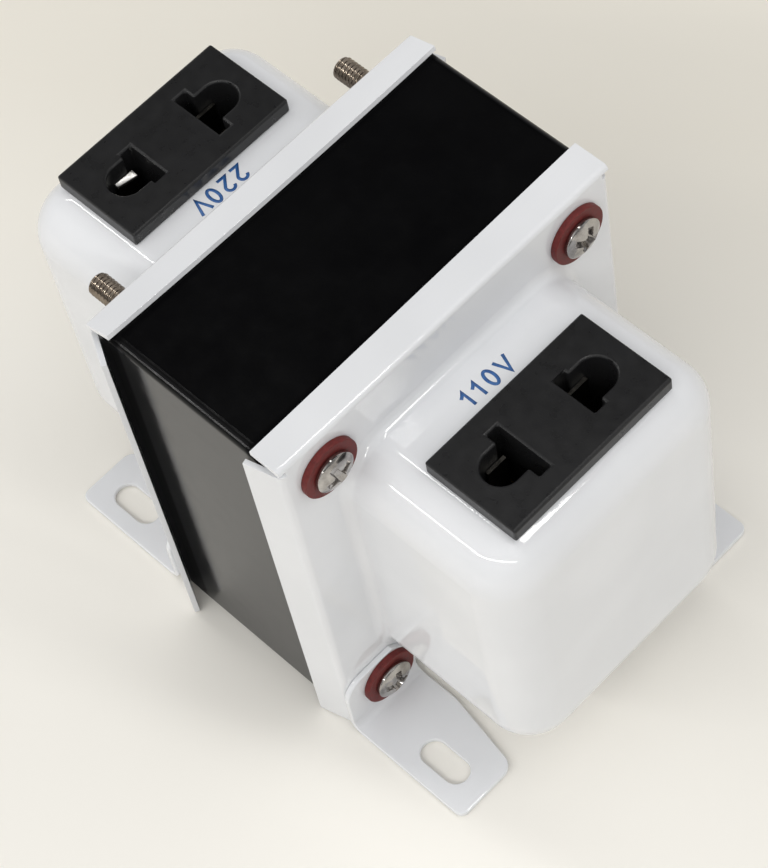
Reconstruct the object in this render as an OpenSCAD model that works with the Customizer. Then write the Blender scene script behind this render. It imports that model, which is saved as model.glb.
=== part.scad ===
// A travel voltage converter: an EI core and its coil between two drawn steel end bells,
// each bell with an outlet on top, all on four slotted feet.
// Millimetres. +Z is up, +X points to the 110 V end, and the feet stand on Z = 0.

/* [Core] */
// Lamination module, half the width of the centre leg
lam_a = 13; // [11:0.5:15]
// Thickness of the lamination stack
stack_t = 36; // [30:1:44]
// Gap between the E and the I laminations
joint_gap = 0.05; // [0:0.05:0.2]
// Thickness of the black wrap round the core
wrap_t = 0.45; // [0.3:0.05:0.8]
// Looseness of the wrap along the core's upright sides, where the folded edges begin
wrap_slack = 0.2; // [0.1:0.05:0.5]
// Gap between the wrap's bulging sides and the upright folded edges that lean out round them
wrap_side_gap = 0.2; // [0.05:0.05:0.5]
// Gap between the wrap and the folded edges above and below it
wrap_gap = 0.05; // [0.05:0.05:0.3]
// Corner radius of the wrap, outside
wrap_r = 1.5; // [0.8:0.1:2.5]
// Length of the wrap's ends under the upright folded edges
wrap_lap = 1.5; // [0.5:0.1:3]

/* [Coil] */
// Clearance of the bobbin round the centre leg and in the window
bobbin_gap = 0.3; // [0.1:0.05:0.5]
// Wall of the bobbin's tube and cheeks
bobbin_wall = 1.2; // [0.8:0.1:1.6]
// Depth of the 110 V winding
winding_110_t = 4.6; // [3.5:0.1:5]
// Depth of the winding that adds the other 110 V
winding_220_t = 4.4; // [3.5:0.1:5]
// Thickness of the tape over the windings
tape_t = 0.5; // [0.2:0.1:0.8]
// Height of the bobbin's cheeks above the tape
cheek_lip = 0.5; // [0.3:0.1:1]

/* [End bells] */
// Thickness of the bells' sheet steel
sheet_t = 0.9; // [0.7:0.1:1.2]
// Inside radius of the folded edges
fold_r = 0.4; // [0.2:0.05:0.5]
// Depth of the upright folded edges, from the flange's outer face
flap_l = 6.3; // [4.5:0.1:9]
// Depth of the level folded edges, from the flange's outer face
level_flap_l = 5.8; // [4.5:0.1:9]
// Outward lean of the left upright folded edge, seen from the dome, in degrees
left_lean = 15; // [0:1:25]
// Outward lean of the right upright folded edge, seen from the dome, in degrees
right_lean = 29; // [0:1:35]
// Relief at the ends of the level folded edges
flap_relief = 0.4; // [0.2:0.1:1.5]
// Relief at the top of the upright folded edges
flap_drop = 1.6; // [0.2:0.1:3]
// Depth of the drawn dome in front of the flange
dome_l = 31.8; // [28:0.2:40]
// Room for the dome's wall beside the core's window
dome_side = 4.5; // [3.5:0.1:5]
// Room for the dome's wall above and below the core's window
dome_top = 3.2; // [2.2:0.1:4]
// Radius of the dome's long edges
dome_r = 8.5; // [7:0.1:9]
// Radius of the dome's front edges
dome_front_r = 7.5; // [4:0.1:8]
// Radius of the fillet between dome and flange
dome_root_r = 1.8; // [0.8:0.1:2.4]

/* [Outlets] */
// Length of the outlet's face plate
plate_l = 33; // [31:0.1:37]
// Width of the outlet's face plate
plate_w = 17.6; // [16:0.1:19.4]
// Thickness of the outlet's face plate
plate_t = 2.7; // [1.5:0.1:4]
// Depth of the outlet's body below the face plate
body_h = 12; // [10:0.5:14]
// Least wall of the outlet's body round its holes
body_wall = 1.3; // [1:0.1:1.6]
// Clearance of the outlet's body in the dome's cut-out, on each side
cutout_gap = 0.2; // [0.1:0.05:0.4]
// Distance from the dome's front face to the outlet's middle
outlet_inset = 13; // [11:0.1:13.4]
// Least clearance between the coil and an outlet's body
coil_gap = 1; // [0.5:0.1:2]
// Distance between the two blade slots
slot_pitch = 12.7; // [11:0.1:14]
// Width of a blade slot
slot_w = 2.3; // [1.8:0.1:3]
// Length of the longer blade slot
slot_long = 10.3; // [9:0.1:11]
// Length of the shorter blade slot
slot_short = 8.2; // [7.5:0.1:9]
// Width of the hole for a round pin
pin_w = 6.2; // [5.8:0.1:6.8]
// Distance from the outlet's middle to the far end of a pin hole
pin_reach = 13; // [12.4:0.1:14]
// Depth of the snap catches at the body's ends
catch_d = 0.8; // [0.4:0.1:1]
// Height of the snap catches
catch_h = 3; // [2:0.5:5]
// Width of the snap catches
catch_w = 6; // [4:0.5:8]
// Gap between the snap catches and the dome's sheet
catch_gap = 0.1; // [0.05:0.05:0.3]

/* [Contacts and leads] */
// Thickness of the contacts' brass strip
strip_t = 0.6; // [0.4:0.1:0.7]
// Width of the contacts' brass strip
strip_w = 3.7; // [2.5:0.1:4]
// Gap between a contact's leaf and the wall of its pin hole
leaf_gap = 0.1; // [0.05:0.05:0.2]
// Depth of the leaves' tips below the outlet's face
leaf_depth = 4.2; // [3.5:0.1:6]
// Gap between the leaves at the throat that grips the pin
throat_w = 3.4; // [3:0.1:4]
// Height of the throat above the contact's foot
throat_h = 2.5; // [1.5:0.1:3.5]
// Length of the contact's solder tab
tab_l = 5; // [3:0.5:7]
// Diameter of an insulated lead
lead_d = 1.8; // [1.2:0.1:2.2]
// Bend radius of a lead, along its middle
lead_bend = 2.5; // [2:0.1:3]
// Drop of the leads' start below their solder tabs
lead_drop = 10; // [7:0.5:14]

/* [Fasteners] */
// Diameter of the bolts
bolt_d = 4; // [3:0.5:5]
// Length of the bolts under the head
bolt_l = 50; // [48.5:0.5:56]
// Clearance of a bolt in sheet and laminations, on the diameter
bolt_gap = 0.5; // [0.2:0.1:1]
// Clearance of a bolt in its nut, on the diameter
thread_gap = 0.1; // [0.05:0.05:0.2]
// Diameter of the bolts' pan heads
head_d = 7; // [6:0.5:9]
// Height of the bolts' pan heads
head_h = 2; // [1.8:0.1:3.4]
// Height of the upright rim of a pan head
head_rim = 0.7; // [0.4:0.1:1.4]
// Width of the nuts across the flats
nut_w = 7; // [6:0.5:9]
// Height of the nuts
nut_t = 3.2; // [2.4:0.1:4]
// Outside diameter of the fibre washers
washer_d = 10.3; // [9:0.1:11]
// Inside diameter of the fibre washers
washer_bore = 4.8; // [4.4:0.1:5.6]
// Thickness of the fibre washers
washer_t = 1.1; // [0.6:0.1:1.6]

/* [Feet] */
// Thickness of the feet's steel
foot_t = 1; // [0.8:0.1:1.6]
// Width of a foot
foot_w = 14.6; // [13:0.2:17]
// Distance from the bolt to the foot's outer edge
foot_out = 8.5; // [7.5:0.1:10]
// Reach of a foot in front of the flange
foot_l = 24.8; // [22:0.1:30]
// Height of a foot's upright leg
foot_h = 13.4; // [11.5:0.1:16]
// Inside radius of a foot's bend, where its washer leaves room for it
foot_bend_r = 1.5; // [0.6:0.1:2]
// Narrowing of a foot towards its tip
foot_taper = 2.7; // [0:0.1:4]
// Length over which a foot narrows
foot_taper_l = 15; // [10:0.5:16]
// Radius of the tip's outer corner
foot_tip_r = 1.5; // [0.5:0.1:3]
// Radius of the tip's inner corner
foot_tip_in_r = 2.5; // [0.5:0.1:4]
// Radius of the upright leg's outer top corner
foot_top_r = 4; // [0.5:0.1:5]
// Gap between a foot's cut corner and the dome
foot_dome_gap = 0.2; // [0.1:0.1:0.6]
// Width of a foot's slot
foot_slot_w = 4.6; // [4.2:0.1:5.5]
// End-to-end length of a foot's slot
foot_slot_l = 9.4; // [7:0.1:11]
// Distance from the foot's tip to the middle of its slot
foot_slot_inset = 8.7; // [7.5:0.1:11]
// Distance from the foot's outer edge to the middle of its slot
foot_slot_side = 5.3; // [4.6:0.1:7]
// Height of the bells above the ground
ground_gap = 0.15; // [0.1:0.05:1]

/* [Hidden] */
$fn = 48;
// Segments in a rounded corner, in a dome's edge and in its root
corner_n = 8;
edge_n = 6;
root_n = 4;
// Flat skirt round the dome's root, and how far the flange runs into it and the folds into the flange
skirt = 0.5;
skirt_lap = 0.25;
flange_lap = 0.25;
// Extra depth of a cut, so that it passes its faces
cut = 1;

// Core: the stack lies against the front flange, with the weld nuts behind it
core_w = 5 * lam_a;
core_h = 6 * lam_a;
bolt_y = 2 * lam_a;
bolt_z = 2.5 * lam_a;
flange_in_x = (stack_t + nut_t) / 2;
flange_x = flange_in_x + sheet_t;
stack_x1 = flange_in_x;
stack_x0 = stack_x1 - stack_t;
stack_x = (stack_x0 + stack_x1) / 2;

// Flange: half its width and height outside, round the wrapped core
flange_y = core_w / 2 + wrap_slack + wrap_t + sheet_t;
flange_z = core_h / 2 + wrap_gap + wrap_t + sheet_t;
fold_out_r = min(fold_r, wrap_gap + wrap_t, wrap_slack + wrap_t) + sheet_t;
core_z = ground_gap + flange_z;

// Wrap: its ends, and how far its sides bulge out beside the leaning folded edges
wrap_x1 = flange_x - flap_l + wrap_lap;
wrap_run = flap_l - wrap_lap - fold_out_r;
wrap_bulge = max(0, wrap_run * tan(min(left_lean, right_lean)) - wrap_side_gap);
wrap_loose = wrap_slack + wrap_bulge;

// Dome: half its width and height, and radii that its corners and washers leave room for
dome_y = 1.5 * lam_a + dome_side;
dome_z = 2 * lam_a + dome_top;
front_r = min(dome_front_r, dome_r - 0.5);
corner_to_bolt = norm([bolt_y - dome_y + dome_r, bolt_z - dome_z + dome_r]);
root_r = min(dome_root_r, corner_to_bolt - dome_r - washer_d / 2 - 0.1);

// Coil: half sizes of each layer across the leg, in X and Z
leg_half = [stack_t / 2, lam_a];
tube_in = leg_half + [bobbin_gap, bobbin_gap];
tube_out = tube_in + [bobbin_wall, bobbin_wall];
layer_110 = tube_out + [winding_110_t, winding_110_t];
layer_220 = layer_110 + [winding_220_t, winding_220_t];
layer_tape = layer_220 + [tape_t, tape_t];
cheek = layer_tape + [cheek_lip, cheek_lip];
bobbin_l = 3 * lam_a - 2 * bobbin_gap;
coil_l = bobbin_l - 2 * bobbin_wall;
coil_x1 = stack_x + layer_tape[0];
coil_x0 = stack_x - layer_tape[0];

// Outlets: their middle, body and pin holes, and the fall of the dome's lining at the catches
body_l = 2 * (pin_reach + body_wall);
body_w = slot_long + 2 * body_wall;
outlet_x = max(flange_x + dome_l - outlet_inset, coil_x1 + coil_gap + body_w / 2);
outlet_z = core_z + dome_z;
lining_r = dome_r - sheet_t;
catch_over = max(0, body_l / 2 + catch_d - dome_y + dome_r);
catch_fall = lining_r - sqrt(lining_r * lining_r - catch_over * catch_over);
pin_y = pin_reach - pin_w / 2;
leaf_out = pin_w / 2 - leaf_gap;
leaf_tip = plate_t - leaf_depth;
strip_y = pin_y + 0.6 - strip_w / 2;
strip_foot_w = pin_w + 2 * body_wall;
tab_x = outlet_x - strip_t / 2;
lead_z1 = outlet_z - body_h - strip_t - tab_l / 2;
lead_z0 = lead_z1 - lead_drop;

// Feet: corner of the dome's root that they are cut back from
foot_y1 = bolt_y + foot_out;
foot_y0 = foot_y1 - foot_w;
foot_x1 = flange_x + foot_l;
foot_clear = (dome_r + root_r + foot_dome_gap) * sqrt(2);
dome_corner_y = dome_y - dome_r;
dome_corner_z = core_z - dome_z + dome_r;
foot_bolt_z = core_z - bolt_z;
bend_r = min(foot_bend_r, foot_bolt_z - washer_d / 2 - foot_t);

front_bell();
rear_bell();
e_lamination_stack();
i_lamination_stack();
core_wrap();
bobbin();
winding_110();
winding_220();
coil_tape();
front_outlet();
rear_outlet();
front_left_contact();
front_right_contact();
rear_left_contact();
rear_right_contact();
front_left_lead();
front_right_lead();
rear_left_lead();
rear_right_lead();
weld_nuts();
bolts();
front_washers();
rear_washers();
rear_foot_nuts();
front_left_foot();
front_right_foot();
rear_left_foot();
rear_right_foot();

// A rounded rectangle's outline from its half sizes, counter-clockwise
function rounded(hw, hh, r) = [
  for (q = [0:3], i = [0:corner_n])
    let (a = 90 * q + 90 * i / corner_n)
    let (side = (q == 0 || q == 3) ? 1 : -1)
    let (end = q < 2 ? 1 : -1)
    [side * (hw - r) + r * cos(a), end * (hh - r) + r * sin(a)]
];

// The arc that rounds corner b between points a and c, when the outline turns left there
function corner_arc(a, b, c, r) =
  let (u = (a - b) / norm(a - b))
  let (v = (c - b) / norm(c - b))
  let (half = acos(u * v) / 2)
  let (m = b + (u + v) / norm(u + v) * r / sin(half))
  let (p = b + u * r / tan(half) - m)
  let (a0 = atan2(p[1], p[0]))
  [for (i = [0:corner_n]) m + r * [cos(a0 + i * (180 - 2 * half) / corner_n),
                                   sin(a0 + i * (180 - 2 * half) / corner_n)]];

// The dome's outline, grown by e
function dome_outline(e) = rounded(dome_y + e, dome_z + e, dome_r + e);

// Steps of the dome's profile as [x, growth], from the flange to the front, offset inwards by t
function dome_steps(t) = concat(
  [[-t, root_r + skirt]],
  [for (i = [0:root_n]) let (a = 90 * i / root_n)
    [root_r - (root_r + t) * cos(a), root_r - (root_r + t) * sin(a)]],
  [for (i = [0:edge_n]) let (a = 90 * i / edge_n)
    [dome_l - front_r + (front_r - t) * sin(a), (front_r - t) * cos(a) - front_r]]
);

// Lays a flat shape drawn in Y and Z along X, from x0 over a length l
module along_x(x0, l) {
  translate([x0, 0, 0])
    rotate([90, 0, 90])
      linear_extrude(l)
        children();
}

// Lays a flat shape drawn in X and Z along Y, centred
module along_y(l) {
  rotate([90, 0, 0])
    linear_extrude(l, center = true)
      children();
}

// Places its children at the four bolts, seen from the front
module at_bolts(z_signs = [-1, 1]) {
  for (y = [-1, 1], z = z_signs)
    translate([0, y * bolt_y, core_z + z * bolt_z])
      children();
}

// The drawn dome with its flat skirt, as one lofted shell
module dome_shell() {
  outer = dome_steps(0);
  inner = dome_steps(sheet_t);
  n = 4 * (corner_n + 1);
  m = len(outer);
  points = [
    for (s = concat(outer, inner), p = dome_outline(s[1]))
      [s[0], p[0], p[1]]
  ];
  walls = [
    for (i = [0:m - 2], k = [0:n - 1])
      let (k1 = (k + 1) % n)
      [i * n + k, (i + 1) * n + k, (i + 1) * n + k1, i * n + k1]
  ];
  lining = [
    for (i = [m:2 * m - 2], k = [0:n - 1])
      let (k1 = (k + 1) % n)
      [i * n + k, i * n + k1, (i + 1) * n + k1, (i + 1) * n + k]
  ];
  rim = [
    for (k = [0:n - 1])
      let (k1 = (k + 1) % n)
      [m * n + k, k, k1, m * n + k1]
  ];
  front = [[for (k = [0:n - 1]) m * n - 1 - k]];
  back = [[for (k = [0:n - 1]) (2 * m - 1) * n + k]];
  polyhedron(points, concat(walls, lining, rim, front, back));
}

// A folded edge's profile in X and its reach: a lap on the flange, the bend and the flap
module fold_profile(reach, depth, lean) {
  turn = 90 - lean;
  in_r = fold_out_r - sheet_t;
  flap = (depth - fold_out_r * (1 - cos(turn))) / sin(turn);
  run = flap * [-sin(turn), cos(turn)];
  ray = [for (i = [0:corner_n]) let (a = turn * i / corner_n) [cos(a), sin(a)]];
  translate([-fold_out_r, reach - fold_out_r])
    polygon(concat(
      [[fold_out_r, -flange_lap]],
      fold_out_r * ray,
      [fold_out_r * ray[corner_n] + run, in_r * ray[corner_n] + run],
      [for (i = [corner_n:-1:0]) in_r * ray[i]],
      [[in_r, -flange_lap]]
    ));
}

// One bell, with its flange's outer face on X = 0 and the core's axis on Z = 0
module bell() {
  flat_y = flange_y - fold_out_r;
  flat_z = flange_z - fold_out_r;
  upright_l = flange_z + flat_z - flap_drop;
  difference() {
    union() {
      dome_shell();
      along_x(-sheet_t, sheet_t)
        difference() {
          square(2 * [flat_y, flat_z], center = true);
          polygon(dome_outline(root_r + skirt_lap));
        }
      along_y(2 * (flange_y - flap_relief))
        fold_profile(flange_z, level_flap_l, 0);
      mirror([0, 0, 1])
        along_y(2 * (flat_y - flap_relief))
          fold_profile(flange_z, level_flap_l, 0);
      translate([0, 0, -flange_z]) {
        linear_extrude(upright_l)
          fold_profile(flange_y, flap_l, right_lean);
        mirror([0, 1, 0])
          linear_extrude(upright_l)
            fold_profile(flange_y, flap_l, left_lean);
      }
    }
    translate([0, 0, -core_z])
      at_bolts()
        rotate([0, 90, 0])
          cylinder(d = bolt_d + bolt_gap, h = 2 * (sheet_t + cut), center = true);
    translate([outlet_x - flange_x, 0, dome_z])
      cube([body_w + 2 * cutout_gap, body_l + 2 * cutout_gap, 4 * sheet_t], center = true);
  }
}

module front_bell() {
  color("#eceef2")
    translate([flange_x, 0, core_z])
      bell();
}

module rear_bell() {
  color("#eceef2")
    rotate([0, 0, 180])
      front_bell();
}

module e_lamination_stack() {
  color("#8d8f92")
    difference() {
      translate([0, 0, core_z])
        along_x(stack_x0, stack_t)
          difference() {
            translate([-core_w / 2, -core_h / 2])
              square([4 * lam_a, core_h]);
            for (z = [-2 * lam_a, lam_a])
              translate([-1.5 * lam_a, z])
                square([3 * lam_a + cut, lam_a]);
          }
      bolt_holes();
    }
}

module i_lamination_stack() {
  color("#7f8185")
    difference() {
      translate([0, 0, core_z])
        along_x(stack_x0, stack_t)
          translate([1.5 * lam_a + joint_gap, -core_h / 2])
            square([lam_a - joint_gap, core_h]);
      bolt_holes();
    }
}

// The four bolt holes through the laminations
module bolt_holes() {
  translate([stack_x, 0, 0])
    at_bolts()
      rotate([0, 90, 0])
        cylinder(d = bolt_d + bolt_gap, h = stack_t + 2 * cut, center = true);
}

module core_wrap() {
  in_y = core_w / 2 + wrap_loose;
  in_z = core_h / 2;
  color("#161618")
    translate([0, 0, core_z])
      along_x(-wrap_x1, 2 * wrap_x1)
        difference() {
          polygon(rounded(in_y + wrap_t, in_z + wrap_t, wrap_r));
          polygon(rounded(in_y, in_z, min(wrap_r - wrap_t, wrap_loose)));
        }
}

// A box-shaped layer round the centre leg, from half sizes outside and inside
module coil_layer(outside, inside, l) {
  translate([stack_x, 0, core_z])
    along_y(l)
      difference() {
        square(2 * outside, center = true);
        square(2 * inside, center = true);
      }
}

module bobbin() {
  cheek_half = [cheek[0], min(cheek[1], 2 * lam_a - bobbin_gap)];
  color("#d8d2c0")
    union() {
      coil_layer(tube_out, tube_in, bobbin_l);
      for (s = [-1, 1])
        translate([0, s * (bobbin_l - bobbin_wall) / 2, 0])
          coil_layer(cheek_half, tube_in, bobbin_wall);
    }
}

module winding_110() {
  color("#b4652f")
    coil_layer(layer_110, tube_out, coil_l);
}

module winding_220() {
  color("#c57a3e")
    coil_layer(layer_220, layer_110, coil_l);
}

module coil_tape() {
  color("#d9b23c")
    coil_layer(layer_tape, layer_220, coil_l);
}

// One blade slot joined to its pin hole, on the +Y side
module outlet_hole(slot_l) {
  translate([0, slot_pitch / 2])
    square([slot_l, slot_w], center = true);
  translate([-pin_w / 2, slot_pitch / 2])
    square([pin_w, pin_y - slot_pitch / 2]);
  translate([0, pin_y])
    circle(d = pin_w);
}

// One outlet, with its face plate's underside on Z = 0 and the longer slot on the -Y side
module outlet() {
  difference() {
    union() {
      translate([-plate_w / 2, -plate_l / 2, 0])
        cube([plate_w, plate_l, plate_t]);
      translate([-body_w / 2, -body_l / 2, -body_h])
        cube([body_w, body_l, body_h + plate_t / 2]);
      for (s = [0, 1])
        mirror([0, s, 0])
          outlet_catch();
    }
    translate([0, 0, -body_h - cut])
      linear_extrude(body_h + plate_t + 2 * cut) {
        outlet_hole(slot_short);
        mirror([0, 1])
          outlet_hole(slot_long);
      }
  }
}

// A wedge that snaps in under the dome's sheet
module outlet_catch() {
  top = -sheet_t - catch_gap - catch_fall;
  along_x(-catch_w / 2, catch_w)
    polygon([
      [body_l / 2 - cut / 2, top], [body_l / 2 - cut / 2, top - catch_h],
      [body_l / 2, top - catch_h], [body_l / 2 + catch_d, top]
    ]);
}

module front_outlet() {
  color("#232428")
    translate([outlet_x, 0, outlet_z])
      outlet();
}

module rear_outlet() {
  color("#232428")
    rotate([0, 0, 180])
      front_outlet();
}

// One leaf of a contact, from its foot up past the throat to its tip
module contact_leaf() {
  in_foot = throat_w / 2;
  in_tip = leaf_out - strip_t;
  knee = -body_h + throat_h;
  bend = knee + (in_tip - in_foot) * 2;
  polygon([
    [in_foot, -body_h - strip_t], [in_foot + strip_t, -body_h - strip_t],
    [in_foot + strip_t, knee], [leaf_out, bend], [leaf_out, leaf_tip],
    [in_tip, leaf_tip], [in_tip, bend], [in_foot, knee]
  ]);
}

// A contact under the outlet: two leaves on a foot that lies against the body, and a solder tab
module contact(side) {
  translate([outlet_x, side * strip_y, outlet_z]) {
    for (s = [0, 1])
      mirror([s, 0, 0])
        along_y(strip_w)
          contact_leaf();
    along_y(strip_w)
      translate([-strip_foot_w / 2, -body_h - strip_t])
        square([strip_foot_w, strip_t]);
    along_y(strip_w)
      translate([-strip_t / 2, -body_h - strip_t - tab_l])
        square([strip_t, tab_l + strip_t]);
  }
}

module front_left_contact() {
  color("#c9a24a")
    contact(-1);
}

module front_right_contact() {
  color("#c9a24a")
    contact(1);
}

module rear_left_contact() {
  color("#c9a24a")
    rotate([0, 0, 180])
      contact(1);
}

module rear_right_contact() {
  color("#c9a24a")
    rotate([0, 0, 180])
      contact(-1);
}

// A lead's middle line as [x, z, heading], from the coil's face out, up and on to the tab
function lead_line(reach) =
  let (straight = (reach - 2 * lead_bend) / 2)
  concat(
    [[0, 0, 0]],
    [for (i = [0:4]) let (a = 90 * i / 4)
      [straight + lead_bend * sin(a), lead_bend * (1 - cos(a)), a]],
    [for (i = [4:-1:0]) let (a = 90 * i / 4)
      [reach - straight - lead_bend * sin(a), lead_drop - lead_bend * (1 - cos(a)), a]],
    [[reach, lead_drop, 0]]
  );

// A lead from the coil's face to a solder tab
module lead(x0, side) {
  sides = 10;
  line = lead_line(tab_x - x0);
  last = len(line) - 1;
  points = [
    for (p = line, k = [0:sides - 1])
      let (a = 360 * k / sides)
      let (out = lead_d / 2 * sin(a))
      [p[0] - out * sin(p[2]), lead_d / 2 * cos(a), p[1] + out * cos(p[2])]
  ];
  walls = [
    for (i = [0:last - 1], k = [0:sides - 1])
      let (k1 = (k + 1) % sides)
      [i * sides + k, (i + 1) * sides + k, (i + 1) * sides + k1, i * sides + k1]
  ];
  ends = [
    [for (k = [0:sides - 1]) k],
    [for (k = [0:sides - 1]) (last + 1) * sides - 1 - k]
  ];
  translate([x0, side * strip_y, lead_z0])
    polyhedron(points, concat(walls, ends));
}

module front_left_lead() {
  color("#1f4f9e")
    lead(coil_x1, -1);
}

module front_right_lead() {
  color("#b8322c")
    lead(coil_x1, 1);
}

module rear_left_lead() {
  color("#1f4f9e")
    rotate([0, 0, 180])
      lead(-coil_x0, 1);
}

module rear_right_lead() {
  color("#b8322c")
    rotate([0, 0, 180])
      lead(-coil_x0, -1);
}

// A hex nut along X, from its near face
module nut() {
  rotate([0, 90, 0])
    difference() {
      cylinder(d = nut_w / cos(30), h = nut_t, $fn = 6);
      translate([0, 0, -cut])
        cylinder(d = bolt_d + thread_gap, h = nut_t + 2 * cut);
    }
}

module weld_nuts() {
  color("#a9abae")
    translate([-flange_in_x, 0, 0])
      at_bolts()
        nut();
}

module rear_foot_nuts() {
  color("#a9abae")
    translate([-flange_x - foot_t - washer_t - nut_t, 0, 0])
      at_bolts([-1])
        nut();
}

// A pan-head bolt along -X, with the head's bearing face on X = 0
module bolt() {
  dome = head_h - head_rim;
  ball = (head_d * head_d / 4 + dome * dome) / (2 * dome);
  tip = bolt_d / 8;
  rotate([0, 90, 0]) {
    intersection() {
      cylinder(d = head_d, h = head_h);
      translate([0, 0, head_h - ball])
        sphere(ball);
    }
    translate([0, 0, tip - bolt_l])
      cylinder(d = bolt_d, h = bolt_l - tip);
    translate([0, 0, -bolt_l])
      cylinder(d1 = bolt_d - 2 * tip, d2 = bolt_d, h = tip);
  }
}

module bolts() {
  color("#c9cbce") {
    translate([flange_x + washer_t, 0, 0])
      at_bolts([1])
        bolt();
    translate([flange_x + foot_t + washer_t, 0, 0])
      at_bolts([-1])
        bolt();
  }
}

// A fibre washer along X, from its near face
module washer() {
  rotate([0, 90, 0])
    difference() {
      cylinder(d = washer_d, h = washer_t);
      translate([0, 0, -cut])
        cylinder(d = washer_bore, h = washer_t + 2 * cut);
    }
}

module front_washers() {
  color("#6e2a2c") {
    translate([flange_x, 0, 0])
      at_bolts([1])
        washer();
    translate([flange_x + foot_t, 0, 0])
      at_bolts([-1])
        washer();
  }
}

// The washers under the nuts of the two rear feet
module rear_washers() {
  color("#6e2a2c")
    rotate([0, 0, 180])
      translate([flange_x + foot_t, 0, 0])
        at_bolts([-1])
          washer();
}

// The side profile of a foot's bent strip in X and Z, with ends that the two outlines trim
module foot_strip() {
  top = foot_h + cut;
  tip = foot_x1 + cut;
  crook_x = flange_x + foot_t;
  crook = corner_arc([crook_x, top], [crook_x, foot_t], [tip, foot_t], bend_r);
  polygon(concat(
    corner_arc([flange_x, top], [flange_x, 0], [tip, 0], bend_r + foot_t),
    [[tip, 0], [tip, foot_t]],
    [for (i = [corner_n:-1:0]) crook[i]],
    [[crook_x, top], [flange_x, top]]
  ));
}

// The outline of a foot's upright leg in Y and Z
module foot_upright() {
  z0 = -cut;
  top_y = dome_corner_y + foot_h - dome_corner_z + foot_clear;
  side_z = dome_corner_z + foot_y0 - dome_corner_y - foot_clear;
  polygon(concat(
    [[foot_y0, z0], [foot_y1, z0]],
    corner_arc([foot_y1, z0], [foot_y1, foot_h], [top_y, foot_h], foot_top_r),
    [[top_y, foot_h], [foot_y0, side_z]]
  ));
}

// The outline of a foot's sole in X and Y
module foot_sole() {
  x0 = flange_x - cut;
  inner = [foot_x1 - foot_taper_l, foot_y0];
  inner_tip = [foot_x1, foot_y0 + foot_taper];
  outer_tip = [foot_x1, foot_y1];
  polygon(concat(
    [[x0, foot_y1], [x0, foot_y0], inner],
    corner_arc(inner, inner_tip, outer_tip, foot_tip_in_r),
    corner_arc(inner_tip, outer_tip, [x0, foot_y1], foot_tip_r)
  ));
}

// The foot at the front on the +Y side
module foot() {
  slot_x = foot_x1 - foot_slot_inset;
  slot_y = foot_y1 - foot_slot_side;
  slot_run = foot_slot_l - foot_slot_w;
  difference() {
    intersection() {
      translate([0, foot_y1 - foot_w / 2, 0])
        along_y(foot_w + 2 * cut)
          foot_strip();
      along_x(flange_x - cut, foot_l + 2 * cut)
        foot_upright();
      translate([0, 0, -cut])
        linear_extrude(foot_h + 2 * cut)
          foot_sole();
    }
    translate([flange_x, bolt_y, foot_bolt_z])
      rotate([0, 90, 0])
        cylinder(d = bolt_d + bolt_gap, h = 2 * (foot_t + cut), center = true);
    translate([slot_x, slot_y, -cut]) {
      translate([-slot_run / 2, -foot_slot_w / 2, 0])
        cube([slot_run, foot_slot_w, foot_t + 2 * cut]);
      for (s = [-1, 1])
        translate([s * slot_run / 2, 0, 0])
          cylinder(d = foot_slot_w, h = foot_t + 2 * cut);
    }
  }
}

module front_left_foot() {
  color("#eceef2")
    mirror([0, 1, 0])
      foot();
}

module front_right_foot() {
  color("#eceef2")
    foot();
}

module rear_left_foot() {
  color("#eceef2")
    rotate([0, 0, 180])
      foot();
}

module rear_right_foot() {
  color("#eceef2")
    mirror([1, 0, 0])
      foot();
}
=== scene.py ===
# A travel voltage converter on a pale floor: two white enamelled end bells round a wrapped core,
# a black outlet on each bell, and four slotted feet.
# Sizes are in millimetres and become metres where a mesh is made.
import math

import bmesh
import bpy
from mathutils import Matrix, Vector


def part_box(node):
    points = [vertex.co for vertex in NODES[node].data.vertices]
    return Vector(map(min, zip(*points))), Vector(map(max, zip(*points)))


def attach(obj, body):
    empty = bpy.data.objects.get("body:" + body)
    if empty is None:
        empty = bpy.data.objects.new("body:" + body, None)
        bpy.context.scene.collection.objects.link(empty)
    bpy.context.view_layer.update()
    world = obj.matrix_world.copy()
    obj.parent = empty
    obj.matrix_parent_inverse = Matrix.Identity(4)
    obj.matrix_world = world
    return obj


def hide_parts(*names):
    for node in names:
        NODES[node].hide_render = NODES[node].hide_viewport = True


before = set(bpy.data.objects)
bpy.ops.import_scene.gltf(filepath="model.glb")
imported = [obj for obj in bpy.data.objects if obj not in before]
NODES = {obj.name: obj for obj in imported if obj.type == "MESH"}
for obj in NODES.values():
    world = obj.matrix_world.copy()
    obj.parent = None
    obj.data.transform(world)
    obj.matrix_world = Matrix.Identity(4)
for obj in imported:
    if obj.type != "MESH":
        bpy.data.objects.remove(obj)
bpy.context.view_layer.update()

MM = 0.001

# Distances below which points become one, and how far a face's normal has to lie along X
# for the face to count as part of a flange or a dome's front
WELD = 0.002
FINE_WELD = 0.001
FACING = 0.999


def span(node):
    """Lowest and highest corner of a CAD node, in millimetres."""
    low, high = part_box(node)
    return Vector(low) / MM, Vector(high) / MM


# Places read from the CAD nodes
bell_low, bell_high = span("front_bell")
outlet_low, outlet_high = span("front_outlet")
FLANGE_X = span("front_washers")[0].x
CORE_Z = (bell_low.z + bell_high.z) / 2
OUTLET_X = (outlet_low.x + outlet_high.x) / 2

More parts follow.
